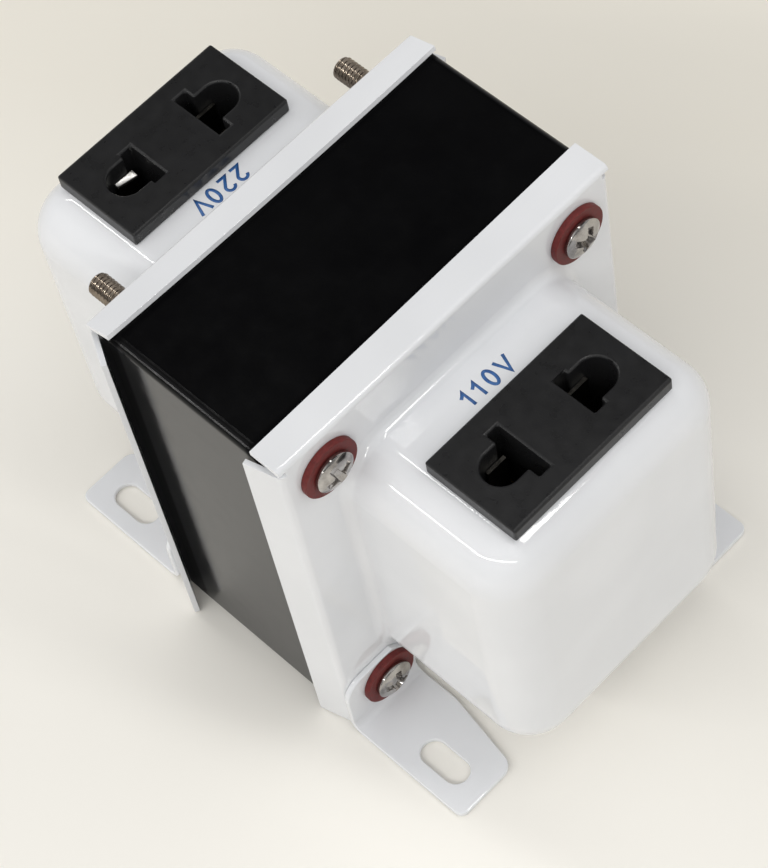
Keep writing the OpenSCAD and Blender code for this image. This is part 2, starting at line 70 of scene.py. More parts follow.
# Sheet steel of the bells: its folded edges, and the notches between them
SHEET_T = 0.9
FOLD_R = 1.3
FLAP_L = 6.3
LEVEL_FLAP_L = 5.8
LEFT_LEAN = math.radians(15)
RIGHT_LEAN = math.radians(29)
FLAP_RELIEF = 0.4
FLAP_DROP = 1.1
FRONT_RIGHT_SLANT = 3.4
TOP_FLAP_OVER = 0.05
FRONT_TOP_R = 1.0
REAR_TOP_R = 1.2
REAR_TOP_LEAN = math.radians(17)
SHEET_EDGE_R = 0.22
SHEET_EDGE_ANGLE = 50
SHARP_ANGLE = 40
FLANGE_Y = 34.05
FLANGE_Z = (bell_high.z - bell_low.z) / 2
LEVEL_STEPS = 32
UPRIGHT_STEPS = 8
FLAP_STEPS = (0.33, 0.66, 1)

# How far the free edge of a bell's top flap moves along X: everywhere, per millimetre
# along Y, and per square millimetre
FRONT_BOW = (-0.36, -0.011, 0)
REAR_BOW = (-0.19, 0.0047, 0.00033)

# Laps of the wrap's film, dark sheets that put painted shade over the inside of the far-leaning
# folded edges
LAP_GAP = 0.05
LAP_T = 0.3
LAP_ENDS = 1.5
LAP_EDGE_R = 0.05
LAP_STEPS = 8

# Drawn dome of a bell
PLATE_T = 2.7
DOME_L = bell_high.x - FLANGE_X
DOME_Y = 24
DOME_Z = outlet_high.z - PLATE_T - CORE_Z
DOME_R = 8.5
DOME_FRONT_R = 7.5
DOME_ROOT_R = 1.8
DOME_LEAST_R = 0.4
DOME_FACE_INSETS = (1, 4)
CORNER_STEPS = 20
EDGE_STEPS = 18
ROOT_STEPS = 8
FOLD_STEPS = 10
CUTOUT_X = 13.3
CUTOUT_Y = 29.0
CUT_DEPTH = 4 * SHEET_T

# Bolts, with their cross recess and thread
BOLT_D = 4
BOLT_L = 50
BOLT_HOLE_D = 4.5
BOLT_HOLE_STEPS = 32
BOLT_STEPS = 40
BOLT_Y = 26
BOLT_Z = 32.5
HEAD_D = 7
HEAD_H = 1.85
HEAD_RIM = 0.8
HEAD_EDGE_R = 0.25
HEAD_EDGE_STEPS = 4
CROWN_STEPS = 14
CROWN_LEAST_R = 0.02
RECESS_DEPTH = 1.5
RECESS_REACH = 2.75
RECESS_HALF_W = 0.62
RECESS_END_REACH = 0.7
RECESS_END_SHARE = 0.75
RECESS_ROOT_SHARE = 1.5
RECESS_SLOPE = 0.25
RECESS_RIM = 0.5
RECESS_RIM_WIDER = 0.06
RECESS_TURNS = {(-1, 1): 20, (1, 1): 62, (-1, -1): 75, (1, -1): 40}
BOLT_EDGE_R = 0.06
BOLT_EDGE_ANGLE = 35
BOLT_EDGE_STEPS = 2
# How fast the bolts' painted reflection turns from the darker, browner threaded ends to the bright
# heads, per millimetre along X
BOLT_PAINTED_REFLECTION_RISE = (1 / 60, 0, 0)
THREAD_PITCH = 0.7
THREAD_DEPTH = 0.26
THREAD_L = 14
THREAD_ROWS = 8
BOLT_TIP_L = 0.7
BOLT_TIP_DROP = 0.55
WASHER_T = 1.1
FOOT_T = 1.0

# Contact tip in the rear outlet
TIP_OUT = 3.02
TIP_T = (0.5, 1.25)
TIP_RISE = 0.6
TIP_SLOPE = 0.45
TIP_SUNK = 0.3
TIP_SIDE_GAP = 0.05
TIP_CHAMFER = (0.1, 0.12)
TIP_EDGE_R = 0.1
TIP_EDGE_ANGLE = 30
TIP_STEPS = 8

# Voltage marks: their strokes, where each sign starts, and where its foot stands along X
MARK_STROKE = 0.53
MARK_RAISE = 0.03
MARK_H = 2.95
MARK_LEAST_MITRE = 0.45
MARK_110_LEFTS = (-4.55, -2.25, 0.2, 2.85)
MARK_110_X = 28.2
MARK_220_LEFTS = (-3.88, -1.2, 1.6, 3.95)
MARK_220_X = 29.6
ONE_FLAG = (0.85, 0.45, 0.55)
ONE_STEM = 0.9
ONE_TOP_GAP = 0.05
ZERO_MIDDLE = 0.8
ZERO_HALF_W = 0.72
ZERO_STEPS = 40
TWO_R = 0.78
TWO_BOW = (170, -30)
TWO_STEPS = 16
TWO_FOOT = 0.05
TWO_W = 1.65
V_HALF_W = 1.05

# Room: its dark side, and its brightness by closeness to that side
ROOM_LIGHT = 1.0
ROOM_DARK_SIDE = Vector((-0.48, 0.33, 0.81)).normalized()
ROOM_TONES = [(0.0, 0.33), (0.25, 0.27), (0.5, 0.57), (0.65, 0.76), (0.8, 0.88),
              (0.9, 0.5), (0.965, 0.03)]

# Ceiling lamps: middle and length in ceiling heights, heading in degrees, brightness
CEILING_H = 1500
TUBE_W = 60
LAMP_COLOUR = (1, 0.99, 0.97)
LAMPS = {
    "near_lamp": ((-0.2, 0.107), 17, 1.95, 16),
    "side_lamp": ((0.1, -1.13), 27, 3.0, 40),
}

# Wrap: its gloss along X, dull at the tucked ends, and the share of it that is left
# at a depth from the core's upright sides, where the film is creased
WRAP_GLOSS_RISE = (1 / 40, 0, 0)
WRAP_GLOSS = [(0.155, 0.05), (0.175, 0.34), (0.825, 0.34), (0.845, 0.05)]
WRAP_CORNER_RISE = (0, 1 / 80, 0)
WRAP_CORNER_DULL = [(1.8, 1.0), (1.45, 0.35), (0.12, 0.35), (0.02, 1.0)]

# Floor: the way that it grows paler, per millimetre, as painted light, and its tones
FLOOR_PAINTED_LIGHT_RISE = (0.0026, -0.004, 0)
FLOOR_TONES = [(0.1, (0.815, 0.78, 0.70)), (0.4, (0.86, 0.835, 0.775)),
               (1.0, (0.93, 0.905, 0.848))]
FLOOR_HALF = 2000
FLOOR_CELLS = 8
FLOOR_DROP = 0.1

# Camera: focal length and picture height in pixels, place in millimetres, turns in degrees
FRAME_H = 868
FOCAL_PX = 2884.5
SENSOR = 36
CAMERA_NEAR = 10
CAMERA_PLACE = Vector((201.7, -138.9, 421.4))
CAMERA_AZIMUTH = 55.68
CAMERA_ELEVATION = 58.18
CAMERA_ROLL = -13.27


# Shader helpers; a noise mostly stays between these values
NOISE_LOW = 0.3
NOISE_HIGH = 0.7


def new_material(name):
    """A material with one Principled shader; returns the material, its node tree and the shader."""
    material = bpy.data.materials.new(name)
    material.use_nodes = True
    tree = material.node_tree
    return material, tree, tree.nodes["Principled BSDF"]


def noise(tree, scale, detail=3.0, roughness=0.5):
    """A noise texture in object space; scale is in features per millimetre."""
    coords = tree.nodes.new("ShaderNodeTexCoord")
    mapping = tree.nodes.new("ShaderNodeMapping")
    mapping.inputs["Scale"].default_value = (1 / MM,) * 3
    texture = tree.nodes.new("ShaderNodeTexNoise")
    texture.inputs["Scale"].default_value = scale
    texture.inputs["Detail"].default_value = detail
    texture.inputs["Roughness"].default_value = roughness
    tree.links.new(coords.outputs["Object"], mapping.inputs["Vector"])
    tree.links.new(mapping.outputs["Vector"], texture.inputs["Vector"])
    return texture.outputs["Fac"]


def along(tree, rise):
    """Grows along a direction in object space, per millimetre; 0.5 at the origin."""
    coords = tree.nodes.new("ShaderNodeTexCoord")
    way = tree.nodes.new("ShaderNodeVectorMath")
    way.operation = "DOT_PRODUCT"
    way.inputs[1].default_value = [c / MM for c in rise]
    tree.links.new(coords.outputs["Object"], way.inputs[0])
    lift = tree.nodes.new("ShaderNodeMath")
    lift.operation = "ADD"
    lift.inputs[1].default_value = 0.5
    tree.links.new(way.outputs["Value"], lift.inputs[0])
    return lift.outputs["Value"]


def ramp(tree, factor, stops):
    """Colours or greys over a factor; stops are (place, colour) pairs."""
    node = tree.nodes.new("ShaderNodeValToRGB")
    elements = node.color_ramp.elements
    while len(elements) < len(stops):
        elements.new(0.5)
    for element, (place, colour) in zip(elements, stops):
        element.position = place
        rgb = colour if isinstance(colour, tuple) else (colour,) * 3
        element.color = (*rgb, 1)
    tree.links.new(factor, node.inputs["Fac"])
    return node.outputs["Color"]


def spread(tree, factor, low, high):
    """A noise's usual span mapped onto a range of values."""
    node = tree.nodes.new("ShaderNodeMapRange")
    node.inputs["From Min"].default_value = NOISE_LOW
    node.inputs["From Max"].default_value = NOISE_HIGH
    node.inputs["To Min"].default_value = low
    node.inputs["To Max"].default_value = high
    tree.links.new(factor, node.inputs["Value"])
    return node.outputs["Result"]


def bump(tree, shader, height, depth, strength):
    """Gives a shader a bump of that depth in millimetres."""
    node = tree.nodes.new("ShaderNodeBump")
    node.inputs["Strength"].default_value = strength
    node.inputs["Distance"].default_value = depth * MM
    tree.links.new(height, node.inputs["Height"])
    tree.links.new(node.outputs["Normal"], shader.inputs["Normal"])


# Materials
def white_enamel():
    """Glossy white enamel with a faint orange peel."""
    material, tree, shader = new_material("white_enamel")
    cloud = noise(tree, 0.05, 2)
    colour = ramp(tree, cloud, [(0.35, (0.75, 0.76, 0.78)), (0.65, (0.79, 0.80, 0.82))])
    tree.links.new(colour, shader.inputs["Base Color"])
    gloss = noise(tree, 0.2, 3)
    tree.links.new(spread(tree, gloss, 0.03, 0.05), shader.inputs["Roughness"])
    peel = noise(tree, 0.55, 2, 0.4)
    bump(tree, shader, peel, 0.02, 0.3)
    shader.inputs["IOR"].default_value = 1.5
    return material


def black_wrap():
    """Glossy black film, dull at its tucked ends and along its creased corners."""
    material, tree, shader = new_material("black_wrap")
    cloud = noise(tree, 0.08, 3)
    colour = ramp(tree, cloud, [(0.3, (0.002, 0.002, 0.0023)), (0.7, (0.0035, 0.0035, 0.0038))])
    tree.links.new(colour, shader.inputs["Base Color"])
    gloss = noise(tree, 0.3, 4)
    tree.links.new(spread(tree, gloss, 0.10, 0.17), shader.inputs["Roughness"])
    wave = noise(tree, 0.03, 2)
    bump(tree, shader, wave, 0.15, 0.3)
    side = span("core_wrap")[1].y
    right = [(0.5 + (side - depth) * WRAP_CORNER_RISE[1], share)
             for depth, share in WRAP_CORNER_DULL]
    left = [(1 - place, share) for place, share in reversed(right)]
    dulled = tree.nodes.new("ShaderNodeMath")
    dulled.operation = "MULTIPLY"
    tree.links.new(ramp(tree, along(tree, WRAP_GLOSS_RISE), WRAP_GLOSS), dulled.inputs[0])
    tree.links.new(ramp(tree, along(tree, WRAP_CORNER_RISE), left + right), dulled.inputs[1])
    tree.links.new(dulled.outputs["Value"], shader.inputs["Specular IOR Level"])
    return material


def outlet_plastic():
    """Black moulded plastic with a fine grain."""
    material, tree, shader = new_material("outlet_plastic")
    cloud = noise(tree, 0.12, 3)
    colour = ramp(tree, cloud, [(0.3, (0.0115, 0.0115, 0.012)), (0.7, (0.0145, 0.0145, 0.0152))])
    tree.links.new(colour, shader.inputs["Base Color"])
    gloss = noise(tree, 0.5, 3)
    tree.links.new(spread(tree, gloss, 0.26, 0.34), shader.inputs["Roughness"])
    grain = noise(tree, 4, 2)
    bump(tree, shader, grain, 0.02, 0.5)
    shader.inputs["Specular IOR Level"].default_value = 0.32
    return material


def red_fibre():
    """Dark red vulcanised fibre."""
    material, tree, shader = new_material("red_fibre")
    fibre = noise(tree, 1.6, 5, 0.65)
    colour = ramp(tree, fibre, [(0.3, (0.09, 0.012, 0.011)), (0.7, (0.175, 0.024, 0.022))])
    tree.links.new(colour, shader.inputs["Base Color"])
    tree.links.new(spread(tree, fibre, 0.45, 0.62), shader.inputs["Roughness"])
    bump(tree, shader, fibre, 0.05, 0.6)
    shader.inputs["Specular IOR Level"].default_value = 0.3
    return material


def metal(name, dark, light, rough):
    """A bare or plated metal with a faint uneven tone and fine scratches."""
    material, tree, shader = new_material(name)
    shader.inputs["Metallic"].default_value = 1
    tone = noise(tree, 0.6, 4, 0.6)
    tree.links.new(ramp(tree, tone, [(0.3, dark), (0.7, light)]), shader.inputs["Base Color"])
    scratch = noise(tree, 2.0, 4, 0.6)
    tree.links.new(spread(tree, scratch, rough * 0.75, rough * 1.25), shader.inputs["Roughness"])
    bump(tree, shader, scratch, 0.01, 0.5)
    return material


def bolt_steel():
    """Plated steel, bright at the heads and painted darker and browner towards the threaded ends as
    a painted reflection.
    """
    material, tree, shader = new_material("plated_steel")
    shader.inputs["Metallic"].default_value = 1
    tone = noise(tree, 0.6, 4, 0.6)
    mix = tree.nodes.new("ShaderNodeMix")
    mix.data_type = "RGBA"
    # Painted reflection: the threaded ends darker and browner than the heads
    painted_reflection_share = ramp(tree, along(tree, BOLT_PAINTED_REFLECTION_RISE), [(0.2, 0.0), (0.8, 1.0)])
    tree.links.new(painted_reflection_share, mix.inputs["Factor"])
    painted_dark_ends = ramp(tree, tone, [(0.3, (0.14, 0.115, 0.09)), (0.7, (0.28, 0.235, 0.19))])
    bright = ramp(tree, tone, [(0.3, (0.26, 0.245, 0.235)), (0.7, (0.52, 0.50, 0.48))])
    tree.links.new(painted_dark_ends, mix.inputs["A"])
    tree.links.new(bright, mix.inputs["B"])
    tree.links.new(mix.outputs["Result"], shader.inputs["Base Color"])
    scratch = noise(tree, 2.0, 4, 0.6)
    tree.links.new(spread(tree, scratch, 0.10, 0.18), shader.inputs["Roughness"])
    bump(tree, shader, scratch, 0.01, 0.5)
    return material


def plain_plastic(name, dark, light, rough):
    """A moulded or drawn plastic with a faint uneven tone."""
    material, tree, shader = new_material(name)
    tone = noise(tree, 0.3, 3)
    tree.links.new(ramp(tree, tone, [(0.3, dark), (0.7, light)]), shader.inputs["Base Color"])
    grain = noise(tree, 1.0, 3)
    tree.links.new(spread(tree, grain, rough * 0.85, rough * 1.15), shader.inputs["Roughness"])
    bump(tree, shader, grain, 0.01, 0.4)
    return material


def wound_wire():
    """Enamelled copper wire, its turns as fine ridges across the coil's axis."""
    material, tree, shader = new_material("copper_wire")
    shader.inputs["Metallic"].default_value = 0.85
    coords = tree.nodes.new("ShaderNodeTexCoord")
    turns = tree.nodes.new("ShaderNodeTexWave")
    turns.bands_direction = "Y"
    turns.inputs["Scale"].default_value = 0.5 / MM
    turns.inputs["Distortion"].default_value = 0.4
    tree.links.new(coords.outputs["Object"], turns.inputs["Vector"])
    tones = [(0.1, (0.16, 0.05, 0.02)), (0.8, (0.62, 0.27, 0.10))]
    colour = ramp(tree, turns.outputs["Fac"], tones)
    tree.links.new(colour, shader.inputs["Base Color"])
    shader.inputs["Roughness"].default_value = 0.3
    bump(tree, shader, turns.outputs["Fac"], 0.2, 0.8)
    return material


def stacked_steel():
    """Silicon steel laminations, their edges as fine lines along the stack."""
    material, tree, shader = new_material("lamination_steel")
    shader.inputs["Metallic"].default_value = 0.9
    coords = tree.nodes.new("ShaderNodeTexCoord")
    sheets = tree.nodes.new("ShaderNodeTexWave")
    sheets.bands_direction = "X"
    sheets.inputs["Scale"].default_value = 0.62 / MM
    sheets.inputs["Distortion"].default_value = 0.3
    tree.links.new(coords.outputs["Object"], sheets.inputs["Vector"])
    tones = [(0.05, (0.06, 0.06, 0.06)), (0.5, (0.38, 0.38, 0.39))]
    colour = ramp(tree, sheets.outputs["Fac"], tones)
    tree.links.new(colour, shader.inputs["Base Color"])
    shader.inputs["Roughness"].default_value = 0.42
    bump(tree, shader, sheets.outputs["Fac"], 0.08, 0.7)
    return material


def blue_ink():
    """Blue printing ink, a little patchy."""
    material, tree, shader = new_material("blue_ink")
    patch = noise(tree, 1.3, 4, 0.6)
    colour = ramp(tree, patch, [(0.3, (0.015, 0.075, 0.26)), (0.7, (0.045, 0.155, 0.40))])
    tree.links.new(colour, shader.inputs["Base Color"])
    tree.links.new(spread(tree, patch, 0.30, 0.42), shader.inputs["Roughness"])
    return material


MATERIALS = {
    "white_enamel": white_enamel(),
    "black_wrap": black_wrap(),
    "outlet_plastic": outlet_plastic(),
    "red_fibre": red_fibre(),
    "plated_steel": bolt_steel(),
    # Contact metal in two copies: painted dark as shade inside the outlets' holes, and painted
    # bright as a glint on the rear-left tip
    "contact_brass": metal("contact_brass", (0.04, 0.038, 0.034), (0.09, 0.085, 0.075), 0.38),
    "contact_metal_painted_glint": metal("contact_metal_painted_glint", (0.5, 0.49, 0.47), (0.66, 0.65, 0.62), 0.34),
    "lamination_steel": stacked_steel(),
    "copper_wire": wound_wire(),
    "bobbin_plastic": plain_plastic("bobbin_plastic",
                                    (0.60, 0.55, 0.42), (0.70, 0.65, 0.52), 0.5),
    "coil_tape": plain_plastic("coil_tape", (0.62, 0.40, 0.05), (0.72, 0.50, 0.09), 0.3),
    "blue_insulation": plain_plastic("blue_insulation",
                                     (0.01, 0.06, 0.26), (0.02, 0.09, 0.34), 0.42),
    "red_insulation": plain_plastic("red_insulation",
                                    (0.36, 0.03, 0.02), (0.46, 0.05, 0.03), 0.42),
    "blue_ink": blue_ink(),
}

# The material slot of each node that keeps its CAD shape
KEPT_NODES = {
    "core_wrap": "black_wrap",
    "front_outlet": "outlet_plastic",
    "rear_outlet": "outlet_plastic",
    "e_lamination_stack": "lamination_steel",
    "i_lamination_stack": "lamination_steel",
    "bobbin": "bobbin_plastic",
    "winding_110": "copper_wire",
    "winding_220": "copper_wire",
    "coil_tape": "coil_tape",
    "front_left_contact": "contact_brass",
    "front_right_contact": "contact_brass",
    "rear_left_contact": "contact_brass",
    "rear_right_contact": "contact_brass",
    "front_left_lead": "blue_insulation",
    "front_right_lead": "red_insulation",
    "rear_left_lead": "blue_insulation",
    "rear_right_lead": "red_insulation",
    "weld_nuts": "plated_steel",
    "rear_foot_nuts": "plated_steel",
    "front_washers": "red_fibre",
    "rear_washers": "red_fibre",
    "front_left_foot": "white_enamel",
    "front_right_foot": "white_enamel",
    "rear_left_foot": "white_enamel",
    "rear_right_foot": "white_enamel",
}

# Angles in degrees: below the first a kept node's faces become one, above the second its
# edges are rounded; and the weight of large faces in the shading
FLAT_ANGLE = 0.5
SOFT_ANGLE = 40
EVEN_WEIGHT = 80

# Radius that softens the edges of a kept node; the others stay as they are
EDGE_RADIUS = {
    "front_outlet": 0.4,
    "rear_outlet": 0.4,
    "front_washers": 0.18,
    "rear_washers": 0.18,
    "front_left_foot": 0.3,
    "front_right_foot": 0.3,
    "rear_left_foot": 0.3,
    "rear_right_foot": 0.3,
    "weld_nuts": 0.2,
    "rear_foot_nuts": 0.2,
}


# Mesh helpers
def mesh_object(name, bm):
    """A smooth-shaded object from a bmesh in millimetres; the bmesh is used up."""
    bmesh.ops.scale(bm, vec=(MM, MM, MM), verts=bm.verts)
    mesh = bpy.data.meshes.new(name)
    bm.to_mesh(mesh)
    bm.free()
    mesh.shade_smooth()
    piece = bpy.data.objects.new(name, mesh)
    bpy.context.scene.collection.objects.link(piece)
    return piece


def apply_modifiers(piece):
    """Makes a piece's modifiers part of its mesh."""
    graph = bpy.context.evaluated_depsgraph_get()
    mesh = bpy.data.meshes.new_from_object(piece.evaluated_get(graph))
    piece.modifiers.clear()
    piece.data = mesh


def cut_by(piece, cutter):
    """Cuts one object out of another and removes it."""
    modifier = piece.modifiers.new("cut", "BOOLEAN")
    modifier.operation = "DIFFERENCE"
    modifier.solver = "EXACT"
    modifier.object = cutter
    apply_modifiers(piece)
    bpy.data.objects.remove(cutter)


def round_edges(piece, radius, angle, segments=3, clamp=True):
    """Rounds the edges of a piece that turn by more than an angle in degrees."""
    edge = piece.modifiers.new("edges", "BEVEL")
    edge.width = radius * MM
    edge.segments = segments
    edge.limit_method = "ANGLE"
    edge.angle_limit = math.radians(angle)
    edge.use_clamp_overlap = clamp


def even_shading(piece):
    """Keeps flat faces flat in their shading, next to rounded edges."""
    even = piece.modifiers.new("shading", "WEIGHTED_NORMAL")
    even.keep_sharp = True
    even.weight = EVEN_WEIGHT


def soften(piece, radius, angle=SOFT_ANGLE, segments=3):
    """Rounds a piece's edges and evens its shading."""
    round_edges(piece, radius, angle, segments)
    even_shading(piece)


def finish_piece(piece, slot, material=None, node=None):
    """Gives a piece its material and body, and hides the node that it stands for."""
    piece.data.materials.clear()
    piece.data.materials.append(MATERIALS[material or slot])
    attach(piece, "root")
    if node:
        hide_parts(node)


def loft(bm, rings):
    """Quads between closed rings of points; returns the rings of vertices."""
    made = [[bm.verts.new(p) for p in ring] for ring in rings]
    for near, far in zip(made, made[1:]):
        count = len(near)
        for k in range(count):
            k1 = (k + 1) % count
            bm.faces.new((near[k], near[k1], far[k1], far[k]))
    return made


def ring_round(x, radius, steps):
    """Points of a circle round the X axis."""
    angles = [2 * math.pi * k / steps for k in range(steps)]
    return [(x, radius * math.cos(a), radius * math.sin(a)) for a in angles]


def cap_ends(bm, made):
    """Closes a loft's two ends and turns every face outwards."""
    bm.faces.new(made[0])
    bm.faces.new(reversed(made[-1]))
    bmesh.ops.recalc_face_normals(bm, faces=bm.faces)


def arc(x, y, radius, start, end, steps):
    """Points of an arc round (x, y), between two angles in degrees."""
    points = []
    for i in range(steps + 1):
        a = math.radians(start + (end - start) * i / steps)
        points.append((x + radius * math.cos(a), y + radius * math.sin(a)))
    return points


# Bells
def rounded(half_y, half_z, radius):
    """A rounded rectangle's outline, counter-clockwise."""
    y, z = half_y - radius, half_z - radius
    outline = []
    for quarter, (y_side, z_side) in enumerate(((1, 1), (-1, 1), (-1, -1), (1, -1))):
        start = 90 * quarter
        outline += arc(y_side * y, z_side * z, radius, start, start + 90, CORNER_STEPS)
    return outline


def dome_profile():
    """The dome's steps as (depth in front of the flange, growth of its outline)."""
    root = arc(DOME_ROOT_R, DOME_ROOT_R, DOME_ROOT_R, 180, 270, ROOT_STEPS)
    front = arc(DOME_L - DOME_FRONT_R, -DOME_FRONT_R, DOME_FRONT_R, 90, 0, EDGE_STEPS)
    face = [(DOME_L, -DOME_FRONT_R - inset) for inset in DOME_FACE_INSETS]
    return root + front + face


def dome_rings():
    """The dome's outer face as rings of points, from its root to the middle of its front."""
    rings = []
    for depth, growth in dome_profile():
        radius = max(DOME_R + growth, DOME_LEAST_R)
        outline = rounded(DOME_Y + growth, DOME_Z + growth, radius)
        rings.append([(depth, y, z) for y, z in outline])
    return rings


def fold_profile(reach, depth, lean, radius):
    """A folded edge's outer side as (depth, distance from the middle)."""
    turn = 90 - math.degrees(lean)
    bend = arc(-radius, reach - radius, radius, 0, turn, FOLD_STEPS)
    run = (depth - radius + radius * math.sin(lean)) / math.cos(lean)
    x, out = bend[-1]
    flap = [(x - run * s * math.cos(lean), out + run * s * math.sin(lean)) for s in FLAP_STEPS]
    return bend + flap


def level_fold(lean, radius):
    """A top or bottom fold whose highest point lies in the outer plane of the bell."""
    shape = fold_profile(0, LEVEL_FLAP_L, lean, radius)
    lift = FLANGE_Z - max(out for x, out in shape)
    return [(x, out + lift) for x, out in shape]


def add_strip(bm, places, profile, point, flip):
    """A folded edge: its profile laid at places along the edge."""
    rows = [[bm.verts.new(point(x, out, place)) for x, out in profile] for place in places]
    for near, far in zip(rows, rows[1:]):
        for i in range(len(profile) - 1):
            quad = (near[i], far[i], far[i + 1], near[i + 1])
            bm.faces.new(quad if flip else quad[::-1])


def steps_between(low, high, count):
    """Evenly spaced values, both ends among them."""
    return [low + (high - low) * i / count for i in range(count + 1)]


def bell_sheet(top_lean, top_r, bow, right_slant):
    """The outer face of a bell's sheet, with the flange on X = 0 and the core's axis on Z = 0."""
    bm = bmesh.new()
    top_fold = level_fold(top_lean, top_r)
    low_fold = level_fold(0, FOLD_R)
    right_fold = fold_profile(FLANGE_Y, FLAP_L, RIGHT_LEAN, FOLD_R)
    left_fold = fold_profile(FLANGE_Y, FLAP_L, LEFT_LEAN, FOLD_R)
    flat_y = FLANGE_Y - FOLD_R
    flat_top = top_fold[0][1]
    flat_low = low_fold[0][1]
    flap_top = flat_top - FLAP_DROP
    top_end = FLANGE_Y + TOP_FLAP_OVER
    low_end = flat_y - FLAP_RELIEF
    top_columns = steps_between(-flat_y, flat_y, LEVEL_STEPS)
    low_columns = steps_between(-low_end, low_end, LEVEL_STEPS)
    rows = steps_between(-flat_low, flap_top, UPRIGHT_STEPS)

    rings = loft(bm, dome_rings())
    bm.faces.new(rings[-1])

    right = [(flat_y, z) for z in rows]
    top = [(y, flat_top) for y in reversed(top_columns)]
    left = [(-flat_y, z) for z in reversed(rows)]
    bottom = [(y, -flat_low) for y in low_columns]
    border = [bm.verts.new((0, y, z)) for y, z in right + top + left + bottom]
    edges = [bm.edges.new((a, b)) for a, b in zip(border, border[1:] + border[:1])]
    root = rings[0]
    edges += [bm.edges.get((a, b)) for a, b in zip(root, root[1:] + root[:1])]
    bmesh.ops.triangle_fill(bm, edges=edges, use_beauty=True, normal=(1, 0, 0))

    def top_point(x, out, y):
        share = max(0, -x - top_r) / (LEVEL_FLAP_L - top_r)
        return (x + share * (bow[0] + bow[1] * y + bow[2] * y * y), y, out)

    def side_point(side, slant):
        return lambda x, out, z: (x, side * out, z + slant * x / FLAP_L * max(0, z / flap_top))

    add_strip(bm, [-top_end, *top_columns, top_end], top_fold, top_point, True)
    add_strip(bm, low_columns, low_fold, lambda x, out, y: (x, y, -out), False)
    add_strip(bm, [-FLANGE_Z, *rows], right_fold, side_point(1, right_slant), False)
    add_strip(bm, [-FLANGE_Z, *rows], left_fold, side_point(-1, 0), True)
    bmesh.ops.remove_doubles(bm, verts=bm.verts, dist=WELD)
    for face in bm.faces:
        if face.normal.x < -FACING:
            face.normal_flip()
    return bm


def bell_cutter(name):
    """The outlet's cut-out and the four bolt holes, for one bell."""
    bm = bmesh.new()
    box = Matrix.Translation((OUTLET_X - FLANGE_X, 0, DOME_Z))
    size = Matrix.Diagonal((CUTOUT_X, CUTOUT_Y, CUT_DEPTH, 1))
    bmesh.ops.create_cube(bm, size=1, matrix=box @ size)
    for y in (-BOLT_Y, BOLT_Y):
        for z in (-BOLT_Z, BOLT_Z):
            place = Matrix.Translation((0, y, z)) @ Matrix.Rotation(math.pi / 2, 4, "Y")
            bmesh.ops.create_cone(bm, cap_ends=True, segments=BOLT_HOLE_STEPS,
                                  radius1=BOLT_HOLE_D / 2, radius2=BOLT_HOLE_D / 2,
                                  depth=CUT_DEPTH, matrix=place)
    return mesh_object(name, bm)


def make_bell(node, turn, top_lean, top_r, bow, right_slant):
    """A bell at its end of the core, in place of its node."""
    piece = mesh_object(node + "_shell", bell_sheet(top_lean, top_r, bow, right_slant))
    sheet = piece.modifiers.new("sheet", "SOLIDIFY")
    sheet.thickness = SHEET_T * MM
    sheet.offset = -1
    sheet.use_even_offset = True
    round_edges(piece, SHEET_EDGE_R, SHEET_EDGE_ANGLE)
    apply_modifiers(piece)
    cut_by(piece, bell_cutter(node + "_cutter"))
    to_flange = Matrix.Translation((FLANGE_X * MM, 0, CORE_Z * MM))
    piece.data.transform(Matrix.Rotation(turn, 4, "Z") @ to_flange)
    piece.data.set_sharp_from_angle(angle=math.radians(SHARP_ANGLE))
    even_shading(piece)
    finish_piece(piece, "white_enamel", node=node)


def lap_reach(out):
    """Where a strip at that distance from the middle meets the far-leaning folded edge inside."""
    x, edge = fold_profile(FLANGE_Y, FLAP_L, RIGHT_LEAN, FOLD_R)[FOLD_STEPS]
    x -= (SHEET_T + LAP_GAP) * math.sin(RIGHT_LEAN)
    edge -= (SHEET_T + LAP_GAP) * math.cos(RIGHT_LEAN)
    return FLANGE_X + x - (out - edge) / math.tan(RIGHT_LEAN)


def make_shade_lap(name, turn):
    """A lap of the wrap's film, from its end to the inside of a far-leaning folded edge, darkening
    the gap there as painted shade.
    """
    low, high = span("core_wrap")
    outer, inner = high.y, high.y - LAP_T
    outline = [(high.x, outer), (high.x, inner),
               (lap_reach(inner), inner), (lap_reach(outer), outer)]
    places = steps_between(low.z + LAP_ENDS, high.z - LAP_ENDS, LAP_STEPS)
    bm = bmesh.new()
    cap_ends(bm, loft(bm, [[(x, y, z) for x, y in outline] for z in places]))
    piece = mesh_object(name, bm)
    piece.data.transform(Matrix.Rotation(turn, 4, "Z"))
    soften(piece, LAP_EDGE_R)
    finish_piece(piece, "black_wrap")


# Bolts
def head_profile():
    """A pan head's outline as (x, radius), from its bearing face to its crown."""
    dome = HEAD_H - HEAD_RIM
    ball = (HEAD_D ** 2 / 4 + dome ** 2) / (2 * dome)
    crown = math.degrees(math.asin(HEAD_D / 2 / ball))
    flat_r = HEAD_D / 2 - HEAD_EDGE_R
    edge = arc(flat_r, HEAD_EDGE_R, HEAD_EDGE_R, -90, 0, HEAD_EDGE_STEPS)
    rim = [(0, BOLT_D / 2), (0, flat_r)] + [(x, r) for r, x in edge]
    cap = []
    for i in range(CROWN_STEPS + 1):
        a = math.radians(crown * (1 - i / CROWN_STEPS))
        cap.append((HEAD_H - ball + ball * math.cos(a), max(ball * math.sin(a), CROWN_LEAST_R)))
    return rim + cap


